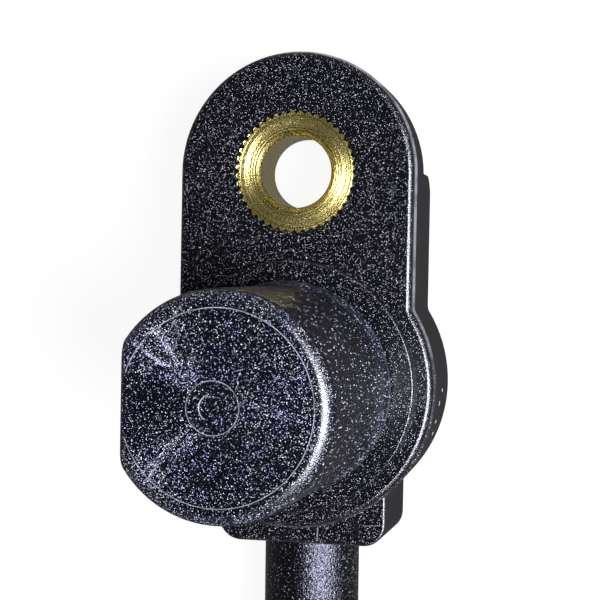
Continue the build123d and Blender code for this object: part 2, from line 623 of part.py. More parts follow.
# Connector housing: neck, rear body and open shroud with a latch ramp
SHROUD_TOP = CONNECTOR_Z + SHROUD_H / 2
RAMP_END_Y = TAIL_END_Y + MOUTH - RAMP_SET_BACK
with BuildPart() as connector_housing:
    with BuildSketch(station(NECK_START)):
        RectangleRounded(NECK_W, NECK_H, NECK_R)
    extrude(amount=NECK_L)
    with BuildSketch(station(REAR_START)):
        RectangleRounded(REAR_W, REAR_H, REAR_R)
    extrude(amount=REAR_L)
    with BuildSketch(station(SHROUD_START)):
        RectangleRounded(SHROUD_W, SHROUD_H, SHROUD_R)
    extrude(amount=SHROUD_L)
    with BuildSketch(station(SOCKET_FLOOR)):
        RectangleRounded(SHROUD_W - 2 * SHROUD_WALL, SHROUD_H - 2 * SHROUD_WALL, SHROUD_R - SHROUD_WALL)
    extrude(amount=SOCKET_DEPTH, mode=Mode.SUBTRACT)

    # Latch ramp between two guard rails on top of the shroud
    with BuildSketch(Plane.YZ.offset(CONNECTOR_X)):
        with BuildLine():
            Polyline(
                (RAMP_END_Y, SHROUD_TOP),
                (RAMP_END_Y - RAMP_L, SHROUD_TOP),
                (RAMP_END_Y - RAMP_L, SHROUD_TOP + RAMP_H),
                (RAMP_END_Y - RAMP_L + RAMP_H, SHROUD_TOP + RAMP_H),
                close=True,
            )
        make_face()
    extrude(amount=RAMP_W / 2, both=True)
    with BuildSketch(station(SHROUD_START + RAIL_END_GAP)):
        with Locations((0, SHROUD_H / 2)):
            with GridLocations(RAIL_PITCH, 0, 2, 1):
                Rectangle(RAIL_W, 2 * RAIL_H)
    extrude(amount=SHROUD_L - 2 * RAIL_END_GAP)

    # Grip ribs on both sides of the rear body
    for index in range(RIB_COUNT):
        with BuildSketch(station(REAR_START + RIB_W * (2 * index + 1.5))):
            with GridLocations(REAR_W, 0, 2, 1):
                Rectangle(2 * RIB_H, REAR_H / 2)
        extrude(amount=RIB_W)

    # Cavities of the pins, pocket of the seal and slot of the lock
    with BuildSketch(station(NECK_START)):
        with GridLocations(PIN_PITCH, 0, len(WIRES), 1):
            Circle(PIN_CAVITY_R)
    extrude(amount=SOCKET_FLOOR - NECK_START, mode=Mode.SUBTRACT)
    with BuildSketch(station(NECK_START)):
        RectangleRounded(SEAL_W + 2 * INNER_GAP, SEAL_H + 2 * INNER_GAP, SEAL_R)
    extrude(amount=SEAL_L + INNER_GAP, mode=Mode.SUBTRACT)
    with BuildSketch(station(LOCK_MID - LOCK_T / 2 - INNER_GAP)):
        with Locations((0, -REAR_H / 2 + PIN_BODY_H / 4)):
            Rectangle(LOCK_W + 2 * INNER_GAP, REAR_H)
    extrude(amount=LOCK_T + 2 * INNER_GAP, mode=Mode.SUBTRACT)
finish(connector_housing, "connector_housing")

# Lock plate pushed in from below, with a notch for each pin
with BuildPart() as terminal_lock:
    lock_top = PIN_BODY_H / 4 - INNER_GAP
    with BuildSketch(station(LOCK_MID - LOCK_T / 2)):
        with Locations((0, (lock_top - REAR_H / 2) / 2)):
            Rectangle(LOCK_W, lock_top + REAR_H / 2)
        with GridLocations(PIN_PITCH, 0, len(WIRES), 1):
            with Locations((0, lock_top)):
                notch_h = 2 * (lock_top + PIN_BODY_H / 2 + INNER_GAP)
                Rectangle(PIN_BODY_W + 2 * INNER_GAP, notch_h, mode=Mode.SUBTRACT)
    extrude(amount=LOCK_T)
finish(terminal_lock, "terminal_lock")

# Seal with a hole for each core, in the connector's neck
with BuildPart() as wire_seal:
    with BuildSketch(station(NECK_START)):
        RectangleRounded(SEAL_W, SEAL_H, SEAL_R)
        with GridLocations(PIN_PITCH, 0, len(WIRES), 1):
            Circle(CORE_R + INNER_GAP, mode=Mode.SUBTRACT)
    extrude(amount=SEAL_L)
finish(wire_seal, "wire_seal")

# Cores spread from the cable's end to the pins, and the pins
for wire, place in WIRES.items():
    near = CONNECTOR_X + place * LEAD_PITCH
    far = CONNECTOR_X + place * PIN_PITCH
    with BuildPart() as tail_core:
        with BuildLine() as spread:
            if place == 0:
                Line((near, TAIL_END_Y, CONNECTOR_Z), (far, TAIL_END_Y + CRIMP_START, CONNECTOR_Z))
            else:
                FilletPolyline(
                    (near, TAIL_END_Y, CONNECTOR_Z),
                    (near, TAIL_END_Y + SPREAD_STRAIGHT, CONNECTOR_Z),
                    (far, TAIL_END_Y + NECK_START - SPREAD_STRAIGHT, CONNECTOR_Z),
                    (far, TAIL_END_Y + CRIMP_START, CONNECTOR_Z),
                    radius=SPREAD_BEND_R,
                )
        with BuildSketch(Plane(origin=(near, TAIL_END_Y, CONNECTOR_Z), x_dir=(1, 0, 0), z_dir=(0, 1, 0))):
            Circle(CORE_R)
        sweep()
        with BuildSketch(station(CRIMP_START)):
            with Locations((-place * PIN_PITCH, 0)):
                Circle(STRAND_R)
        extrude(amount=CRIMP_L - 8 * INNER_GAP)
    finish(tail_core, f"tail_core_{wire}")

    with BuildPart() as pin:
        with BuildSketch(station(CRIMP_START + INNER_GAP)):
            with Locations((-place * PIN_PITCH, 0)):
                Circle(CORE_R)
        extrude(amount=CRIMP_L)
        with BuildSketch(station(CRIMP_START + CRIMP_L)):
            with Locations((-place * PIN_PITCH, 0)):
                Rectangle(PIN_BODY_W, PIN_BODY_H)
        extrude(amount=SOCKET_FLOOR - CRIMP_START - CRIMP_L - PIN_ROOT + CUT_MARGIN / 2)
        with BuildSketch(station(SOCKET_FLOOR - PIN_ROOT)):
            with Locations((-place * PIN_PITCH, 0)):
                Rectangle(PIN_W, PIN_T)
        extrude(amount=SOCKET_DEPTH - PIN_SET_BACK + PIN_ROOT)
        chamfer(pin.faces().sort_by(Axis.Y)[-1].edges(), PIN_CHAMFER)
        with BuildSketch(station(CRIMP_START)):
            with Locations((-place * PIN_PITCH, 0)):
                Circle(STRAND_R + INNER_GAP)
        extrude(amount=CRIMP_L - 6 * INNER_GAP, mode=Mode.SUBTRACT)
    finish(pin, f"pin_{wire}")

# Printed for the record: bend radii and the cable's stretches
print("lead bends", [round(radius, 1) for radius in bend_radii(LEAD_ROUTE)])
print("tail bends", [round(radius, 1) for radius in bend_radii(TAIL_ROUTE)])
for stretch in (cable_lead, cable_tail):
    section = math.pi * CABLE_R**2
    print(stretch.part.label, "length from volume", round(stretch.part.volume / section, 2))
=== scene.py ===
import json
import math

import bpy
import numpy as np
from mathutils import Matrix, Vector


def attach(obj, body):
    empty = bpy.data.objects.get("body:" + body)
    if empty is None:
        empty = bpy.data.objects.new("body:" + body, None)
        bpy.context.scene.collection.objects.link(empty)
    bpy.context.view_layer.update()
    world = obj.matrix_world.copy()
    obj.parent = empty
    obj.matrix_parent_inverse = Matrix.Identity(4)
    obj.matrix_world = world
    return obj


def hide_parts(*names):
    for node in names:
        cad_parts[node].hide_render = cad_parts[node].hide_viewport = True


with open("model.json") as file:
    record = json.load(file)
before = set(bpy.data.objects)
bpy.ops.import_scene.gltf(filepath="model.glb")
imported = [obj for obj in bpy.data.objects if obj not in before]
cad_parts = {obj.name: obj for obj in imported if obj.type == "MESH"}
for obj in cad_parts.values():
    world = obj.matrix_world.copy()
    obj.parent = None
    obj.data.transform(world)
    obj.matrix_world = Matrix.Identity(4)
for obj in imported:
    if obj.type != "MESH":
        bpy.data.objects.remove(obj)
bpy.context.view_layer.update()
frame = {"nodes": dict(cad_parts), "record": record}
MM = 0.001

# Camera: the photograph's place, worked out from the sensor's outlines
CAMERA_TARGET = (0.645, 7.640, 0.0)
CAMERA_DISTANCE = 148.68
CAMERA_AZIMUTH = 12.6405
CAMERA_ELEVATION = 1.2588
CAMERA_ROLL = 1.0982
CAMERA_FOCAL_PX = 1677.93
PICTURE_PX = 600
SENSOR_WIDTH = 36.0

# Cable and coil, as the CAD model has them, in millimetres
CABLE_D = 8.7
ROUTE_START = (0.7, -10.85, -7.0)
LEVEL_1 = -6.4
LEVEL_2 = 2.8
COIL_ENTRY_X = 3.0
COIL_R = 47.5
COIL_Y = -77.0
COIL_X = COIL_ENTRY_X - COIL_R
TAIL_X = COIL_X - COIL_R
CONNECTOR_X = TAIL_X - 2.5
CONNECTOR_Z = -5.1
COIL_STEP = math.radians(22.5)

# Sensor sizes that the finishes and small marks follow, in millimetres
BOLT_Y = 19.0
TOOTH_ROOT_R, BUSHING_R = 5.15, 5.4
BARREL_TIP = 25.0
COLLAR_H = 1.2
PARTING_Z = -1.1
WALL_R, WALL_DRAFT = 12.8, 2.0
GATE_X = -0.28
GATE_R = 2.05
WITNESS_R = 7.5
BLOCK_FRONT_Z = -2.0
FLOOR_Z = -12.0

# Fine moulded marks, in millimetres and degrees: the figure's box, the gate's inner arc between two
# angles, the insert line, and the nicks on the drafted wall, each with two angles and a height.
# The last line gives the ridges' widths and heights.
FIGURE_LOW, FIGURE_HIGH = (5.2, -13.5, BLOCK_FRONT_Z), (6.1, -12.08, BLOCK_FRONT_Z + 0.1)
GATE_ARC_R, GATE_ARC_TURN = 1.05, (105.0, 238.0)
INSERT_LINE = ((6.3, -12.45, BLOCK_FRONT_Z), (8.05, -12.36, BLOCK_FRONT_Z))
WALL_NICKS = ((-1.1, -2.6, -6.6), (-5.7, -7.9, -4.9), (-13.6, -15.1, -5.1), (-19.3, -20.8, -6.2))
GATE_ARC_SIZE, INSERT_LINE_SIZE, NICK_SIZE = (0.07, 0.045), (0.03, 0.02), (0.35, 0.03)

# Studio: levels of the dome and of what reflections see overhead, level and below, the lamp's
# power, its size and distance in metres, its place in degrees from straight up and round from +X,
# the floor's half width in metres, and how much of the floor shows plain white
DOME_LEVEL = 0.16
CEILING_LEVEL = 0.045
HORIZON_LEVEL = 0.14
BELOW_LEVEL = 0.14
LAMP_POWER = 11.0
LAMP_SIZE = 0.32
LAMP_DISTANCE = 0.6
LAMP_TILT = 36.0
LAMP_SWING = -12.0
FLOOR_HALF = 2.0
FLOOR_WHITE = 0.93

# Painted glints of the sparked grain, pale cells in the base colour: cell sizes in millimetres, shades
# from dull to bright, shades of the painted highlights on the fine lines, grain depths in millimetres,
# powers that thin the glints out, how far the flow wanders and how many streaks it has in a turn, and
# how thick the glints are by turns round the gate
FACE_GLINT_SIZE, TIP_GLINT_SIZE, SIDE_GLINT_SIZE = 0.041, 0.052, 0.075
GLINT_SHADES = ((0.0, "#040408"), (0.18, "#24252e"), (1.0, "#f0f2ff"))
LINE_PAINTED_HIGHLIGHT, RING_PAINTED_HIGHLIGHT = "#6c6e76", "#868892"
FLAT_GRAIN, CURVED_GRAIN = 0.003, 0.035
FACE_POWER, BARREL_POWER, RIM_POWER = 37.0, 30.0, 12.0
LOBE_POWERS = (32.0, 2.1)
FLOW_WANDER, STREAKS = 0.06, 110.0
FLOW_STOPS = (
    (0.0, 0.12), (0.02, 0.18), (0.035, 0.54), (0.05, 0.40), (0.065, 0.18), (0.085, 0.58), (0.11, 0.80),
    (0.14, 0.85), (0.165, 0.70), (0.19, 0.54), (0.215, 0.34), (0.25, 0.18), (0.28, 0.24), (0.31, 0.38),
    (0.40, 0.40), (0.47, 0.60), (0.50, 0.70), (0.54, 0.64), (0.62, 0.50), (0.70, 0.42), (0.745, 0.30),
    (0.765, 0.24), (0.785, 0.46), (0.81, 0.70), (0.85, 0.83), (0.89, 0.86), (0.92, 0.72), (0.94, 0.36),
    (0.957, 0.14), (0.975, 0.08), (1.0, 0.12),
)


def place_camera():
    """Look at the target from the fitted direction: columns of the turn are right, up and backwards."""
    azimuth, elevation, roll = (math.radians(a) for a in (CAMERA_AZIMUTH, CAMERA_ELEVATION, CAMERA_ROLL))
    back = Vector((
        math.sin(azimuth) * math.cos(elevation),
        math.sin(elevation),
        math.cos(azimuth) * math.cos(elevation),
    ))
    level = (-back).cross(Vector((0, 1, 0))).normalized()
    upright = level.cross(-back)
    right = math.cos(roll) * level + math.sin(roll) * upright
    up = math.cos(roll) * upright - math.sin(roll) * level
    data = bpy.data.cameras.new("photo_camera")
    data.sensor_width = SENSOR_WIDTH
    data.lens = SENSOR_WIDTH * CAMERA_FOCAL_PX / PICTURE_PX
    data.clip_start = 0.005
    data.clip_end = 10.0
    camera = bpy.data.objects.new("photo_camera", data)
    turn = Matrix((right, up, back)).transposed()
    place = (Vector(CAMERA_TARGET) + CAMERA_DISTANCE * back) * MM
    camera.matrix_world = Matrix.Translation(place) @ turn.to_4x4()
    bpy.context.scene.collection.objects.link(camera)
    bpy.context.scene.camera = camera


def cable_route():
    """Points of the whole cable: the lead, one and a half turns of coil, and the tail.

    The coil's points lie on a circle that is a little larger than the coil, because the spline
    runs inside them. The first half turn is level, the second rises with the cosine of its
    angle, and the third is level again on top of the first.
    """
    lead = [ROUTE_START, (0.7, -31.0, -7.0), (2.0, -47.5, -6.7), (COIL_ENTRY_X, -62.5, LEVEL_1)]
    radius = COIL_R / (0.75 + 0.25 * math.cos(COIL_STEP))
    middle, half_rise = (LEVEL_1 + LEVEL_2) / 2, (LEVEL_2 - LEVEL_1) / 2
    turns = []
    for step in range(1, 24):
        angle = -step * COIL_STEP
        height = LEVEL_1 if step <= 8 else LEVEL_2
        if 8 < step < 16:
            height = middle + half_rise * math.cos(angle)
        turns.append((COIL_X + radius * math.cos(angle), COIL_Y + radius * math.sin(angle), height))
    tail = [
        (TAIL_X, COIL_Y, LEVEL_2),
        (TAIL_X, COIL_Y + 2.2 * CABLE_D, LEVEL_2),
        (CONNECTOR_X, COIL_Y + 5.2 * CABLE_D, CONNECTOR_Z),
        (CONNECTOR_X, COIL_Y + 7.9 * CABLE_D, CONNECTOR_Z),
    ]
    return lead + [(COIL_ENTRY_X, COIL_Y, LEVEL_1)] + turns + tail


def make_cable():
    """One smooth spline along the route, round in section.

    The radius is set on the points, so that the box round the curve is the cable's own.
    """
    points = cable_route()
    curve = bpy.data.curves.new("cable", "CURVE")
    curve.dimensions = "3D"
    spline = curve.splines.new("NURBS")
    spline.points.add(len(points) - 1)
    for target, point in zip(spline.points, points):
        target.co = (*(MM * value for value in point), 1.0)
        target.radius = CABLE_D / 2 * MM
    spline.order_u = 3
    spline.use_endpoint_u = True
    spline.resolution_u = 12
    curve.bevel_depth = 1.0
    curve.bevel_resolution = 10
    curve.use_fill_caps = True
    cable = bpy.data.objects.new("cable", curve)
    bpy.context.scene.collection.objects.link(cable)
    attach(cable, "root")
    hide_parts("cable_lead", "cable_coil", "cable_tail")
    on_cable = ["cable_tie", "connector_boot", "connector_housing", "terminal_lock", "wire_seal"]
    on_cable += [f"{piece}_{wire}" for piece in ("tail_core", "pin")
                 for wire in ("supply", "signal", "ground")]
    return cable


def linear(hex_colour):
    """Turn an sRGB hex colour into the linear colour with alpha that sockets take."""
    parts = (int(hex_colour[i:i + 2], 16) / 255 for i in (1, 3, 5))
    return (*(c / 12.92 if c <= 0.04045 else ((c + 0.055) / 1.055) ** 2.4 for c in parts), 1.0)


def add(tree, kind, inputs=None, **settings):
    """Add a node: settings are its properties, inputs are values or other nodes' sockets."""
    node = tree.nodes.new(kind)
    for name, value in settings.items():
        setattr(node, name, value)
    for key, value in (inputs or {}).items():
        if isinstance(value, bpy.types.NodeSocket):
            tree.links.new(value, node.inputs[key])
        else:
            node.inputs[key].default_value = value
    return node


def blank_material(name):
    """A material with an empty tree; returns both."""
    material = bpy.data.materials.new(name)
    material.use_nodes = True
    material.node_tree.nodes.clear()
    return material, material.node_tree


def close_material(tree, shader):
    """Send the shader to the material's output."""
    add(tree, "ShaderNodeOutputMaterial", {"Surface": shader})


def cells_per_metre(size_mm):
    """Texture scale at which one cell of the pattern is size_mm across."""
    return 1000.0 / size_mm


def studio():
    """A pale floor, a white surround, a dim overhead dome and one small soft lamp on the right."""
    scene = bpy.context.scene
    scene.view_settings.view_transform = "Standard"

    world = bpy.data.worlds.new("studio")
    scene.world = world
    world.use_nodes = True
    tree = world.node_tree
    tree.nodes.clear()
    rays = add(tree, "ShaderNodeLightPath")
    direction = add(tree, "ShaderNodeTexCoord").outputs["Generated"]
    height = add(tree, "ShaderNodeSeparateXYZ", {0: direction}).outputs["Z"]
    slope = add(tree, "ShaderNodeMath", {0: height}, operation="ABSOLUTE")
    low = add(tree, "ShaderNodeMapRange", {"Value": slope.outputs[0], "From Min": 0.6, "From Max": 0.3})
    shiny = add(tree, "ShaderNodeMath", {0: rays.outputs["Is Glossy Ray"],
                                         1: rays.outputs["Is Transmission Ray"]}, operation="MAXIMUM")
    dome, white, ceiling, horizon, below = (
        add(tree, "ShaderNodeBackground", {"Color": linear("#ffffff"), "Strength": level})
        for level in (DOME_LEVEL, 1.0, CEILING_LEVEL, HORIZON_LEVEL, BELOW_LEVEL)
    )
    upper = add(tree, "ShaderNodeMath", {0: height, 1: 0.0}, operation="GREATER_THAN")
    far = add(tree, "ShaderNodeMixShader", {0: upper.outputs[0], 1: below.outputs[0],
                                            2: ceiling.outputs[0]})
    mirrored = add(tree, "ShaderNodeMixShader", {0: low.outputs[0], 1: far.outputs[0],
                                                 2: horizon.outputs[0]})
    lit = add(tree, "ShaderNodeMixShader", {0: shiny.outputs[0], 1: dome.outputs[0],
                                            2: mirrored.outputs[0]})
    seen = add(tree, "ShaderNodeMixShader", {0: rays.outputs["Is Camera Ray"], 1: lit.outputs[0],
                                             2: white.outputs[0]})
    add(tree, "ShaderNodeOutputWorld", {"Surface": seen.outputs[0]})

    data = bpy.data.lights.new("key_lamp", "AREA")
    data.shape = "DISK"
    data.size = LAMP_SIZE
    data.energy = LAMP_POWER
    lamp = bpy.data.objects.new("key_lamp", data)
    tilt, swing = math.radians(LAMP_TILT), math.radians(LAMP_SWING)
    towards = Vector((math.sin(tilt) * math.cos(swing), math.sin(tilt) * math.sin(swing), math.cos(tilt)))
    turn = towards.to_track_quat("Z", "Y").to_matrix().to_4x4()
    lamp.matrix_world = Matrix.Translation(LAMP_DISTANCE * towards) @ turn
    scene.collection.objects.link(lamp)

    corners = FLOOR_HALF * np.array([[-1, -1], [1, -1], [1, 1], [-1, 1]])
    mesh = bpy.data.meshes.new("floor")
    mesh.from_pydata([(x, y, FLOOR_Z * MM) for x, y in corners], [], [(0, 1, 2, 3)])
    floor = bpy.data.objects.new("floor", mesh)
    material, tree = blank_material("pale_paper")
    rays = add(tree, "ShaderNodeLightPath")
    shiny = add(tree, "ShaderNodeMath", {0: rays.outputs["Is Glossy Ray"],
                                         1: rays.outputs["Is Transmission Ray"]}, operation="MAXIMUM")
    seen = add(tree, "ShaderNodeMath", {0: shiny.outputs[0], 1: rays.outputs["Is Camera Ray"]},
               operation="MAXIMUM")
    white_part = add(tree, "ShaderNodeMath", {0: seen.outputs[0], 1: FLOOR_WHITE}, operation="MULTIPLY")
    paper = add(tree, "ShaderNodeBsdfDiffuse", {"Color": linear("#f2f2f2")})
    glow = add(tree, "ShaderNodeEmission", {"Color": linear("#ffffff"), "Strength": 1.0})
    both = add(tree, "ShaderNodeMixShader", {0: white_part.outputs[0], 1: paper.outputs[0],
                                             2: glow.outputs[0]})
    close_material(tree, both.outputs[0])
    floor.data.materials.append(material)
    floor.visible_glossy = False
    scene.collection.objects.link(floor)


def reach_across(tree, vector):
    """Distance from the Z axis: the length of a place with its height left out."""
    level = add(tree, "ShaderNodeVectorMath", {0: vector, 1: (1.0, 1.0, 0.0)}, operation="MULTIPLY")
    return add(tree, "ShaderNodeVectorMath", {0: level.outputs[0]}, operation="LENGTH").outputs["Value"]


def fill_ramp(ramp, stops):
    """Give a colour ramp its stops, each a position and a colour."""
    while len(ramp.elements) < len(stops):
        ramp.elements.new(0.5)
    for element, (position, colour) in zip(ramp.elements, stops):
        element.position = position
        element.color = colour


def melt_flow(tree, place, gate, run):
    """Flow marks on the tip, by angle round the gate, with fine streaks that run outwards.

    Inside the gate's ring the glints are evenly thin. The run is the distance from the gate.
    """
    angle = add(tree, "ShaderNodeTexGradient", {"Vector": gate}, gradient_type="RADIAL")
    wander = add(tree, "ShaderNodeTexNoise", {"Vector": place, "Scale": cells_per_metre(2.4), "Detail": 3.0})
    shift = add(tree, "ShaderNodeMath", {0: wander.outputs[0], 1: 0.5}, operation="SUBTRACT")
    bent = add(tree, "ShaderNodeMath", {0: shift.outputs[0], 1: FLOW_WANDER, 2: angle.outputs["Fac"]},
               operation="MULTIPLY_ADD")
    flow = add(tree, "ShaderNodeValToRGB", {"Fac": bent.outputs[0]})
    flow.color_ramp.interpolation = "EASE"
    fill_ramp(flow.color_ramp, [(position, (level, level, level, 1.0)) for position, level in FLOW_STOPS])
    streak_turn = add(tree, "ShaderNodeMath", {0: bent.outputs[0], 1: STREAKS}, operation="MULTIPLY")
    streak_run = add(tree, "ShaderNodeMath", {0: run, 1: cells_per_metre(4.0)}, operation="MULTIPLY")
    streak_place = add(tree, "ShaderNodeCombineXYZ", {0: streak_turn.outputs[0], 1: streak_run.outputs[0]})
    streaks = add(tree, "ShaderNodeTexNoise", {"Vector": streak_place.outputs[0], "Scale": 1.0,
                                               "Detail": 2.0})
    streak = add(tree, "ShaderNodeMapRange", {"Value": streaks.outputs[0], "From Min": 0.35,
                                              "From Max": 0.65, "To Min": 0.7, "To Max": 1.2})
    streaked = add(tree, "ShaderNodeMath", {0: flow.outputs["Color"], 1: streak.outputs[0]},
                   operation="MULTIPLY", use_clamp=True)
    past_gate = add(tree, "ShaderNodeMapRange", {"Value": run, "From Min": 1.3 * MM, "From Max": 2.4 * MM})
    lobes = add(tree, "ShaderNodeMix", {"Factor": past_gate.outputs[0], "A": 0.34,
                                        "B": streaked.outputs[0]}, data_type="FLOAT")
    return lobes.outputs[0]


def painted_highlight_lines(tree, place, xyz, upward, run):
    """Masks of the two rings on the tip, and of all lines: the rings and the flash line.

    The flash line lies where the tool halves meet. Both masks carry a painted highlight in pale grey, on the
    flash line full beside the ear and faint elsewhere.
    """
    height = xyz.outputs["Z"]
    reach = reach_across(tree, place)
    witness = add(tree, "ShaderNodeMath", {0: reach, 1: WITNESS_R * MM, 2: 0.03 * MM}, operation="COMPARE")
    gate_ring = add(tree, "ShaderNodeMath", {0: run, 1: GATE_R * MM, 2: 0.022 * MM}, operation="COMPARE")
    either = add(tree, "ShaderNodeMath", {0: witness.outputs[0], 1: gate_ring.outputs[0]},
                 operation="MAXIMUM")
    raised = add(tree, "ShaderNodeMapRange", {"Value": height, "From Min": (BARREL_TIP + 0.01) * MM,
                                              "From Max": (BARREL_TIP + 0.04) * MM})
    ring = add(tree, "ShaderNodeMath", {0: either.outputs[0], 1: raised.outputs[0]}, operation="MULTIPLY")
    seam_above = add(tree, "ShaderNodeMapRange", {"Value": height, "From Min": (PARTING_Z - 0.06) * MM,
                                                  "From Max": (PARTING_Z - 0.02) * MM})
    seam_below = add(tree, "ShaderNodeMapRange", {"Value": height, "From Min": (PARTING_Z + 0.06) * MM,
                                                  "From Max": (PARTING_Z + 0.02) * MM})
    seam = add(tree, "ShaderNodeMath", {0: seam_above.outputs[0], 1: seam_below.outputs[0]},
               operation="MULTIPLY")
    seam = add(tree, "ShaderNodeMath", {0: seam.outputs[0], 1: upward}, operation="MULTIPLY")
    # Painted highlight on the flash line: faint below the ear, full beside it
    beside_ear = add(tree, "ShaderNodeMapRange", {"Value": xyz.outputs["Y"], "From Min": 2.0 * MM,
                                                  "From Max": 5.0 * MM, "To Min": 0.15})
    seam = add(tree, "ShaderNodeMath", {0: seam.outputs[0], 1: beside_ear.outputs[0]},
               operation="MULTIPLY")
    line = add(tree, "ShaderNodeMath", {0: ring.outputs[0], 1: seam.outputs[0]}, operation="MAXIMUM")
    return ring.outputs[0], line.outputs[0]


def black_moulding():
    """Black glass-filled nylon, moulded against a spark-eroded tool.

    The front faces carry painted glints: pale, bluish cells in the base colour on near-black, which
    stand in for the sparkle of the grain. On the tip the glints are thick in two lobes and thin
    where the melt ran, both spreading from the gate. The drafted walls behind the parting line come
    from a smooth tool half, and the fine raised lines and the flash line carry painted highlights.
    """
    material, tree = blank_material("nylon_black_sparked")
    place = add(tree, "ShaderNodeTexCoord").outputs["Object"]
    xyz = add(tree, "ShaderNodeSeparateXYZ", {0: place})
    height = xyz.outputs["Z"]
    facing = add(tree, "ShaderNodeSeparateXYZ", {0: add(tree, "ShaderNodeNewGeometry").outputs["Normal"]})
    upward = add(tree, "ShaderNodeMapRange", {"Value": facing.outputs["Z"], "From Min": 0.6, "From Max": 0.9})

    # Where the tool was sparked: all in front of the parting line, and faces that look forwards
    front = add(tree, "ShaderNodeMapRange", {"Value": height, "From Min": (PARTING_Z - 0.08) * MM,
                                             "From Max": (PARTING_Z + 0.02) * MM})
    sparked = add(tree, "ShaderNodeMath", {0: front.outputs[0], 1: upward.outputs[0]}, operation="MAXIMUM")

    # The power that thins the glints out: faces, barrel, rounded rim, then the lobes on the tip
    gate = add(tree, "ShaderNodeMapping", {"Vector": place, "Location": (-GATE_X * MM, 0.0, 0.0)}).outputs[0]
    run = reach_across(tree, gate)
    lobes = melt_flow(tree, place, gate, run)
    on_tip = add(tree, "ShaderNodeMapRange", {"Value": height, "From Min": (BARREL_TIP - 0.1) * MM,
                                              "From Max": (BARREL_TIP - 0.01) * MM})
    on_rim = add(tree, "ShaderNodeMapRange", {"Value": height, "From Min": (BARREL_TIP - 1.2) * MM,
                                              "From Max": (BARREL_TIP - 0.8) * MM})
    on_barrel = add(tree, "ShaderNodeMapRange", {"Value": height, "From Min": (COLLAR_H + 0.05) * MM,
                                                 "From Max": (COLLAR_H + 0.1) * MM})
    power = add(tree, "ShaderNodeMapRange", {"Value": lobes, "From Min": 0.0, "From Max": 1.0,
                                             "To Min": LOBE_POWERS[0], "To Max": LOBE_POWERS[1]})
    body = add(tree, "ShaderNodeMix", {"Factor": on_barrel.outputs[0], "A": FACE_POWER,
                                       "B": BARREL_POWER}, data_type="FLOAT")
    body = add(tree, "ShaderNodeMix", {"Factor": on_rim.outputs[0], "A": body.outputs[0],
                                       "B": RIM_POWER}, data_type="FLOAT")
    power = add(tree, "ShaderNodeMix", {"Factor": on_tip.outputs[0], "A": body.outputs[0],
                                        "B": power.outputs[0]}, data_type="FLOAT")

    # Painted glints: random pale cells in the base colour, each raised to that power, drawn out along
    # the barrel on upright sides, and kept off the upright walls below the barrel
    drawn = add(tree, "ShaderNodeMapping", {"Vector": place, "Scale": (1.0, 1.0, 0.22)})
    fineness = add(tree, "ShaderNodeMix", {"Factor": on_barrel.outputs[0],
                                           "A": cells_per_metre(FACE_GLINT_SIZE),
                                           "B": cells_per_metre(TIP_GLINT_SIZE)}, data_type="FLOAT")
    cells = add(tree, "ShaderNodeTexVoronoi", {"Vector": place, "Scale": fineness.outputs[0]})
    long_cells = add(tree, "ShaderNodeTexVoronoi", {"Vector": drawn.outputs[0],
                                                    "Scale": cells_per_metre(SIDE_GLINT_SIZE)})
    leaning = add(tree, "ShaderNodeMapRange", {"Value": facing.outputs["Z"], "From Min": 0.2,
                                               "From Max": 0.5})
    cell = add(tree, "ShaderNodeMix", {"Factor": leaning.outputs[0], "A": long_cells.outputs["Color"],
                                       "B": cells.outputs["Color"]}, data_type="RGBA")
    chance = add(tree, "ShaderNodeSeparateColor", {0: cell.outputs["Result"]})
    glint = add(tree, "ShaderNodeMath", {0: chance.outputs[0], 1: power.outputs[0]}, operation="POWER")
    low_wall = add(tree, "ShaderNodeMath", {0: leaning.outputs[0], 1: on_barrel.outputs[0]},
                   operation="MAXIMUM")
    open_face = add(tree, "ShaderNodeMath", {0: sparked.outputs[0], 1: low_wall.outputs[0]},
                    operation="MULTIPLY")
    glint = add(tree, "ShaderNodeMath", {0: glint.outputs[0], 1: open_face.outputs[0]},
                operation="MULTIPLY")

    # Colour: painted glints on near-black, smooth walls dragged along the draw, a violet cast in
    # patches on the barrel, and the painted highlights on the fine lines, broken by the same patches
    grey = add(tree, "ShaderNodeValToRGB", {"Fac": glint.outputs[0]})
    fill_ramp(grey.color_ramp, [(position, linear(shade)) for position, shade in GLINT_SHADES])
    lengthwise = add(tree, "ShaderNodeMapping", {"Vector": place, "Scale": (1.0, 1.0, 0.04)})
    drag = add(tree, "ShaderNodeTexNoise", {"Vector": lengthwise.outputs[0], "Scale": cells_per_metre(0.25),
                                            "Detail": 3.0})
    wall = add(tree, "ShaderNodeMix", {"Factor": drag.outputs[0], "A": linear("#040405"),
                                       "B": linear("#18181b")}, data_type="RGBA")
    grey = add(tree, "ShaderNodeMix", {"Factor": sparked.outputs[0], "A": wall.outputs["Result"],
                                       "B": grey.outputs["Color"]}, data_type="RGBA")
    patches = add(tree, "ShaderNodeTexNoise", {"Vector": place, "Scale": cells_per_metre(1.6), "Detail": 2.0})
    violet = add(tree, "ShaderNodeMapRange", {"Value": patches.outputs[0], "From Min": 0.4,
                                              "From Max": 0.62, "To Min": 0.3})
    violet = add(tree, "ShaderNodeMath", {0: violet.outputs[0], 1: on_barrel.outputs[0]},
                 operation="MULTIPLY")
    colour = add(tree, "ShaderNodeMix", {"Factor": violet.outputs[0], "A": grey.outputs["Result"],
                                         "B": linear("#d6d8ff")}, data_type="RGBA", blend_type="MULTIPLY")
    ring, line = painted_highlight_lines(tree, place, xyz, upward.outputs[0], run)
    broken = add(tree, "ShaderNodeMapRange", {"Value": patches.outputs[0], "From Min": 0.35,
                                              "From Max": 0.6, "To Min": 0.35})
    painted_line_amount = add(tree, "ShaderNodeMath", {0: line, 1: broken.outputs[0]}, operation="MULTIPLY")
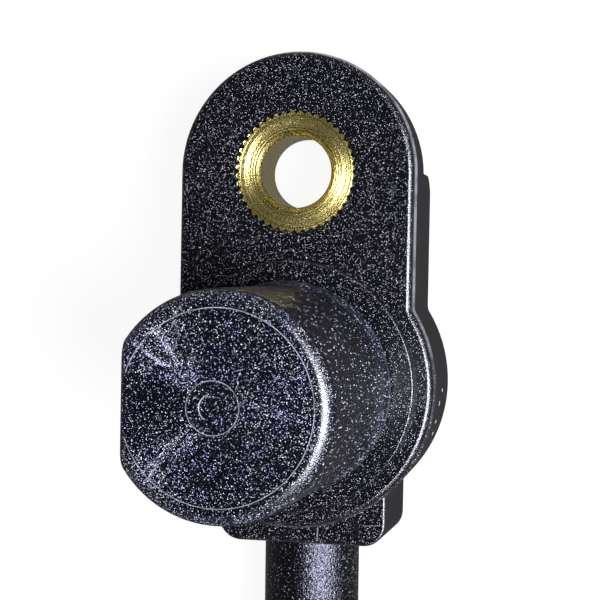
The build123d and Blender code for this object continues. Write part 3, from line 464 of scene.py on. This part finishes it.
    # The fine lines are painted pale grey as a painted highlight, the rings a little paler
    painted_line_colour = add(tree, "ShaderNodeMix", {"Factor": ring, "A": linear(LINE_PAINTED_HIGHLIGHT),
                                              "B": linear(RING_PAINTED_HIGHLIGHT)}, data_type="RGBA")
    colour = add(tree, "ShaderNodeMix", {"Factor": painted_line_amount.outputs[0], "A": colour.outputs["Result"],
                                         "B": painted_line_colour.outputs["Result"]}, data_type="RGBA")

    # Grain: pits 0.1 mm across, coarser than the real 0.02 mm so that they show, deepest on the
    # curved edges, where they break the lamp's highlight up
    pits = add(tree, "ShaderNodeTexNoise", {"Vector": place, "Scale": cells_per_metre(0.1),
                                            "Detail": 2.0})
    curved = add(tree, "ShaderNodeMapRange", {"Value": facing.outputs["Z"], "From Min": 0.995,
                                              "From Max": 0.97})
    pit_depth = add(tree, "ShaderNodeMix", {"Factor": curved.outputs[0], "A": FLAT_GRAIN * MM,
                                            "B": CURVED_GRAIN * MM}, data_type="FLOAT")
    depth = add(tree, "ShaderNodeMath", {0: pit_depth.outputs[0], 1: sparked.outputs[0]},
                operation="MULTIPLY")
    bump = add(tree, "ShaderNodeBump", {"Height": pits.outputs[0], "Distance": depth.outputs[0]})

    # Gloss: flats and sides dull the lamp, rounded edges are worn and catch it fully
    worn = add(tree, "ShaderNodeMath", {0: curved.outputs[0], 1: leaning.outputs[0]}, operation="MULTIPLY")
    curved_rough = add(tree, "ShaderNodeMix", {"Factor": leaning.outputs[0], "A": 0.32, "B": 0.27},
                       data_type="FLOAT")
    grain_rough = add(tree, "ShaderNodeMix", {"Factor": curved.outputs[0], "A": 0.22,
                                              "B": curved_rough.outputs[0]}, data_type="FLOAT")
    rough = add(tree, "ShaderNodeMix", {"Factor": sparked.outputs[0], "A": 0.5,
                                        "B": grain_rough.outputs[0]}, data_type="FLOAT")
    gloss = add(tree, "ShaderNodeMix", {"Factor": worn.outputs[0], "A": linear("#90929c"),
                                        "B": linear("#f0f2ff")}, data_type="RGBA")
    shader = add(tree, "ShaderNodeBsdfPrincipled", {
        "Base Color": colour.outputs["Result"], "Roughness": rough.outputs[0], "IOR": 1.53,
        "Specular IOR Level": 1.0, "Specular Tint": gloss.outputs["Result"], "Normal": bump.outputs[0]})
    close_material(tree, shader.outputs[0])
    return material


def turned_brass():
    """Free-cutting brass: a faced end whose fine rings from the tool stretch the lamp into a bow tie.

    The tips of the knurl's teeth and the wall of the hole carry a painted highlight: their base colour is
    lightened towards pale brass.
    """
    material, tree = blank_material("brass_turned")
    place = add(tree, "ShaderNodeTexCoord").outputs["Object"]
    centred = add(tree, "ShaderNodeMapping", {"Vector": place, "Location": (0.0, -BOLT_Y * MM, 0.0)})
    radius = reach_across(tree, centred.outputs[0])
    rings = add(tree, "ShaderNodeTexNoise", {"W": radius, "Scale": cells_per_metre(0.22),
                                             "Detail": 3.0, "Roughness": 0.7}, noise_dimensions="1D")
    mottle = add(tree, "ShaderNodeTexNoise", {"Vector": place, "Scale": cells_per_metre(0.1), "Detail": 2.0})
    mixed = add(tree, "ShaderNodeMix", {"Factor": 0.5, "A": rings.outputs[0], "B": mottle.outputs[0]},
                data_type="FLOAT")
    tone = add(tree, "ShaderNodeMapRange", {"Value": mixed.outputs[0], "From Min": 0.4, "From Max": 0.6})
    colour = add(tree, "ShaderNodeMix", {"Factor": tone.outputs[0], "A": linear("#866d1c"),
                                         "B": linear("#faea9c")}, data_type="RGBA")
    # Painted highlight: the knurl's tips and the hole's wall are lightened towards pale brass
    teeth = add(tree, "ShaderNodeMapRange", {"Value": radius, "From Min": TOOTH_ROOT_R * MM,
                                             "From Max": BUSHING_R * MM})
    facing = add(tree, "ShaderNodeSeparateXYZ", {0: add(tree, "ShaderNodeNewGeometry").outputs["Normal"]})
    wall = add(tree, "ShaderNodeMapRange", {"Value": facing.outputs["Z"], "From Min": 0.5, "From Max": 0.2})
    painted_shine = add(tree, "ShaderNodeMath", {0: teeth.outputs[0], 1: wall.outputs[0]}, operation="MAXIMUM")
    painted_shine_share = add(tree, "ShaderNodeMath", {0: painted_shine.outputs[0], 1: 0.8}, operation="MULTIPLY")
    colour = add(tree, "ShaderNodeMix", {"Factor": painted_shine_share.outputs[0], "A": colour.outputs["Result"],
                                         "B": linear("#fdf0ae")}, data_type="RGBA")
    rough = add(tree, "ShaderNodeMapRange", {"Value": mottle.outputs[0], "From Min": 0.3, "From Max": 0.7,
                                             "To Min": 0.18, "To Max": 0.32})
    spotted = add(tree, "ShaderNodeBump", {"Height": mottle.outputs[0], "Distance": 0.012 * MM})
    bump = add(tree, "ShaderNodeBump", {"Height": rings.outputs[0], "Distance": 0.06 * MM,
                                        "Normal": spotted.outputs[0]})
    shader = add(tree, "ShaderNodeBsdfPrincipled", {
        "Base Color": colour.outputs["Result"], "Metallic": 1.0, "Roughness": rough.outputs[0],
        "Normal": bump.outputs[0]})
    close_material(tree, shader.outputs[0])
    return material


def sparkled(name, base, spark, power, cell_mm, grain_mm, depth_mm, roughness, level, sheen, stretch):
    """Rubber or plastic whose grain breaks the sheen up, with random cells painted pale as glints.

    A higher power leaves fewer cells bright. The stretch draws cells and grain out along an axis.
    """
    material, tree = blank_material(name)
    place = add(tree, "ShaderNodeTexCoord").outputs["Object"]
    drawn = add(tree, "ShaderNodeMapping", {"Vector": place, "Scale": stretch})
    cells = add(tree, "ShaderNodeTexVoronoi", {"Vector": drawn.outputs[0],
                                               "Scale": cells_per_metre(cell_mm)})
    chance = add(tree, "ShaderNodeSeparateColor", {0: cells.outputs["Color"]})
    glint = add(tree, "ShaderNodeMath", {0: chance.outputs[0], 1: power}, operation="POWER")
    colour = add(tree, "ShaderNodeMix", {"Factor": glint.outputs[0], "A": linear(base),
                                         "B": linear(spark)}, data_type="RGBA")
    grain = add(tree, "ShaderNodeTexNoise", {"Vector": drawn.outputs[0],
                                             "Scale": cells_per_metre(grain_mm), "Detail": 2.0})
    rough = add(tree, "ShaderNodeMapRange", {"Value": grain.outputs[0], "From Min": 0.3, "From Max": 0.7,
                                             "To Min": roughness[0], "To Max": roughness[1]})
    bump = add(tree, "ShaderNodeBump", {"Height": grain.outputs[0], "Distance": depth_mm * MM})
    shader = add(tree, "ShaderNodeBsdfPrincipled", {
        "Base Color": colour.outputs["Result"], "Roughness": rough.outputs[0], "IOR": 1.51,
        "Specular IOR Level": level, "Specular Tint": linear(sheen), "Normal": bump.outputs[0]})
    close_material(tree, shader.outputs[0])
    return material


def grained(name, dark, light, roughness, size_mm, height_mm, metallic=0.0, ior=1.5, level=0.5,
            stretch=None):
    """A surface whose colour, roughness and height all follow one noise of size_mm cells."""
    material, tree = blank_material(name)
    place = add(tree, "ShaderNodeTexCoord").outputs["Object"]
    if stretch:
        place = add(tree, "ShaderNodeMapping", {"Vector": place, "Scale": stretch}).outputs[0]
    noise = add(tree, "ShaderNodeTexNoise", {"Vector": place, "Scale": cells_per_metre(size_mm),
                                             "Detail": 3.0, "Roughness": 0.6})
    tone = add(tree, "ShaderNodeMapRange", {"Value": noise.outputs[0], "From Min": 0.35, "From Max": 0.65})
    colour = add(tree, "ShaderNodeMix", {"Factor": tone.outputs[0], "A": linear(dark),
                                         "B": linear(light)}, data_type="RGBA")
    rough = add(tree, "ShaderNodeMapRange", {"Value": noise.outputs[0], "From Min": 0.3, "From Max": 0.7,
                                             "To Min": roughness[0], "To Max": roughness[1]})
    bump = add(tree, "ShaderNodeBump", {"Height": noise.outputs[0], "Distance": height_mm * MM})
    inputs = {"Base Color": colour.outputs["Result"], "Roughness": rough.outputs[0], "Metallic": metallic,
              "Normal": bump.outputs[0]}
    if not metallic:
        inputs |= {"IOR": ior, "Specular IOR Level": level}
    shader = add(tree, "ShaderNodeBsdfPrincipled", inputs)
    close_material(tree, shader.outputs[0])
    return material


def place_mark(name, vertices, faces, material, smooth=True):
    """Put a small moulded mark, given in millimetres, on the housing."""
    mesh = bpy.data.meshes.new(name)
    mesh.from_pydata((MM * vertices).tolist(), [], faces)
    mesh.polygons.foreach_set("use_smooth", np.full(len(faces), smooth))
    mesh.materials.append(material)
    mark = bpy.data.objects.new(name, mesh)
    bpy.context.scene.collection.objects.link(mark)
    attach(mark, "root")


def ridge(name, path, up, width, height, material):
    """A low rounded ridge along a path, thinning to both ends as a circle narrows to its edge.

    A ring of points stands at each step of the path. Each point is the path, plus the sideways
    direction times half the width times the cosine of its turn, plus up times the height times
    the sine of its turn, both times the thinning. The sine stops at zero, so the underside is flat.
    """
    sides = 12
    heading = np.gradient(path, axis=0)
    heading /= np.linalg.norm(heading, axis=1, keepdims=True)
    sideways = np.cross(heading, up)
    along = np.linspace(-1, 1, len(path) + 2)[1:-1]
    thin = np.sqrt(1 - along ** 2)[:, None, None]
    turn = np.linspace(0, 2 * np.pi, sides, endpoint=False)
    across = sideways[:, None, :] * (width / 2 * np.cos(turn))[None, :, None]
    rise = up[:, None, :] * (height * np.maximum(np.sin(turn), 0))[None, :, None]
    points = path[:, None, :] + thin * (across + rise)
    ring, side = np.meshgrid(np.arange(len(path) - 1), np.arange(sides), indexing="ij")
    beside = (side + 1) % sides
    quads = np.stack([ring * sides + side, (ring + 1) * sides + side,
                      (ring + 1) * sides + beside, ring * sides + beside], axis=-1).reshape(-1, 4)
    first = np.arange(sides)
    last = (len(path) - 1) * sides + first[::-1]
    faces = quads.tolist() + [first.tolist(), last.tolist()]
    place_mark(name, points.reshape(-1, 3), faces, material)


def circle_path(centre, radius, height, start, end, steps):
    """Points on a circle in a level plane between two angles in degrees, and their outward directions."""
    angle = np.radians(np.linspace(start, end, steps))
    outward = np.stack([np.cos(angle), np.sin(angle), np.zeros(steps)], axis=1)
    return np.array([centre[0], centre[1], height]) + radius * outward, outward


def raised_figure(material):
    """A plain raised figure on the cable block, as moulders number their cavities.

    The text's depth and bevel are in its own units, and its mesh is then scaled to its box.
    """
    curve = bpy.data.curves.new("cavity_figure", "FONT")
    curve.body = "3"
    curve.extrude = 0.05
    curve.bevel_depth = 0.02
    text = bpy.data.objects.new("cavity_figure_text", curve)
    bpy.context.scene.collection.objects.link(text)
    shape = bpy.data.meshes.new_from_object(text)
    bpy.data.objects.remove(text)
    points = np.empty(3 * len(shape.vertices))
    shape.vertices.foreach_get("co", points)
    points = points.reshape(-1, 3)
    low, high = points.min(axis=0), points.max(axis=0)
    wanted_low, wanted_high = np.array(FIGURE_LOW), np.array(FIGURE_HIGH)
    points = wanted_low + (points - low) / (high - low) * (wanted_high - wanted_low)
    faces = [list(polygon.vertices) for polygon in shape.polygons]
    place_mark("cavity_figure", points, faces, material, smooth=False)


def moulded_marks():
    """The fine marks that the mould left: gate arc, insert line, cavity figure and nicks on the wall."""
    # Nylon against a polished cavity: deep black with little sheen
    smooth = grained("nylon_black_smooth", "#020203", "#050506", (0.3, 0.4), 0.1, 0.002, ior=1.53, level=0.25)
    # Nylon painted pale grey on the fine ridges: a painted highlight along each ridge
    painted_shine = grained("nylon_pale_painted_highlight", "#7c7e84", "#b4b6bc", (0.3, 0.45), 0.06, 0.004, ior=1.53)
    raised_figure(smooth)

    path, _ = circle_path((GATE_X, 0.0), GATE_ARC_R, BARREL_TIP, *GATE_ARC_TURN, 40)
    forwards = np.tile([0.0, 0.0, 1.0], (len(path), 1))
    ridge("gate_arc", path, forwards, *GATE_ARC_SIZE, painted_shine)

    path = np.linspace(INSERT_LINE[0], INSERT_LINE[1], 20)
    ridge("insert_line", path, forwards[:len(path)], *INSERT_LINE_SIZE, painted_shine)

    for number, (start, end, height) in enumerate(WALL_NICKS):
        radius = WALL_R - (PARTING_Z - height) * math.tan(math.radians(WALL_DRAFT))
        path, outward = circle_path((0.0, 0.0), radius, height, start, end, 12)
        ridge(f"wall_nick_{number}", path, outward, *NICK_SIZE, painted_shine)


def dress():
    """Give every CAD node the finish of its record slot."""
    finishes = {
        "moulding": black_moulding(),
        "brass_insert": turned_brass(),
        # Nitrile rubber ring, moulded: dark grey-blue, with painted glints that break its sheen up
        "seal_ring": sparkled("nitrile_moulded", "#101118", "#9a9db8", 14.0, 0.075, 0.14, 0.02,
                              (0.28, 0.38), 0.4, "#d8dcff", (1.0, 1.0, 0.4)),
        # Polyamide carrier, moulded: plain dark grey
        "carrier": grained("polyamide_carrier", "#2b2b2e", "#38383b", (0.45, 0.6), 0.4, 0.008),
        # Epoxy chip body, transfer moulded: near-black with a faint grain
        "chip": grained("epoxy_moulded", "#131315", "#1e1e21", (0.3, 0.45), 0.12, 0.004, ior=1.55),
        # Soft iron, ground: grey with fine scratches one way
        "pole_steel": grained("iron_ground", "#8f9194", "#b4b5b8", (0.25, 0.42), 0.15, 0.006, metallic=1.0,
                              stretch=(1.0, 0.05, 1.0)),
        # Ferrite, sintered: dull charcoal
        "magnet": grained("ferrite_sintered", "#4c4c4f", "#626266", (0.55, 0.75), 0.2, 0.012),
        # Tinned bronze strip: bright, slightly yellow grey
        "lead_frame": grained("bronze_tinned", "#bcb8af", "#d8d5cc", (0.2, 0.35), 0.3, 0.004, metallic=1.0),
        # Fired ceramic: matt brown
        "ceramic": grained("ceramic_fired", "#94775a", "#b08f6e", (0.6, 0.8), 0.15, 0.006),
        # Tinned splice: pale grey, a little uneven
        "splice": grained("copper_tinned", "#b9babb", "#d6d6d6", (0.22, 0.4), 0.25, 0.008, metallic=1.0),
        # Extruded wire insulation in three plain colours
        "insulation_supply": grained("pvc_red", "#b5201c", "#cd3a31", (0.35, 0.5), 0.3, 0.006),
        "insulation_signal": grained("pvc_yellow", "#cfc22f", "#ddd153", (0.35, 0.5), 0.3, 0.006),
        "insulation_ground": grained("pvc_brown", "#54361f", "#67462c", (0.35, 0.5), 0.3, 0.006),
        # Polyurethane jacket, extruded: satin black, its drawn grain full of painted bluish glints
        "jacket": sparkled("polyurethane_extruded", "#040406", "#c8cada", 80.0, 0.04, 0.16, 0.09,
                           (0.16, 0.24), 0.45, "#dcdeff", (1.0, 0.6, 1.0)),
        # Nylon tie, moulded: black with a soft gloss
        "tie": grained("nylon_tie", "#1b1b1e", "#29292d", (0.3, 0.45), 0.3, 0.008, ior=1.53),
        # Rubber boot, moulded: matt charcoal
        "boot": grained("epdm_moulded", "#1c1c1e", "#2a2a2c", (0.6, 0.8), 0.22, 0.015),
        # Glass-filled polyester housing, moulded: black with a fine grain
        "connector": grained("polyester_black", "#19191c", "#2b2b2f", (0.42, 0.58), 0.2, 0.015),
        # Polyester lock plate, moulded: mid grey
        "lock": grained("polyester_grey", "#98999c", "#acadb0", (0.4, 0.55), 0.3, 0.006),
        # Silicone seal, moulded: rust-red with a soft sheen
        "seal": grained("silicone_moulded", "#a5482f", "#bb5b3f", (0.35, 0.5), 0.3, 0.008, ior=1.41),
        # Tinned brass pins: bright grey
        "pin": grained("brass_tinned", "#c2c2bf", "#dcdcd9", (0.15, 0.3), 0.2, 0.004, metallic=1.0),
    }
    for part in frame["record"]["subparts"]:
        mesh = frame["nodes"][part["node"]].data
        mesh.materials.clear()
        mesh.materials.append(finishes[part["material_slot"]])
    return finishes


place_camera()
cable = make_cable()
studio()
finishes = dress()
cable.data.materials.append(finishes["jacket"])
moulded_marks()
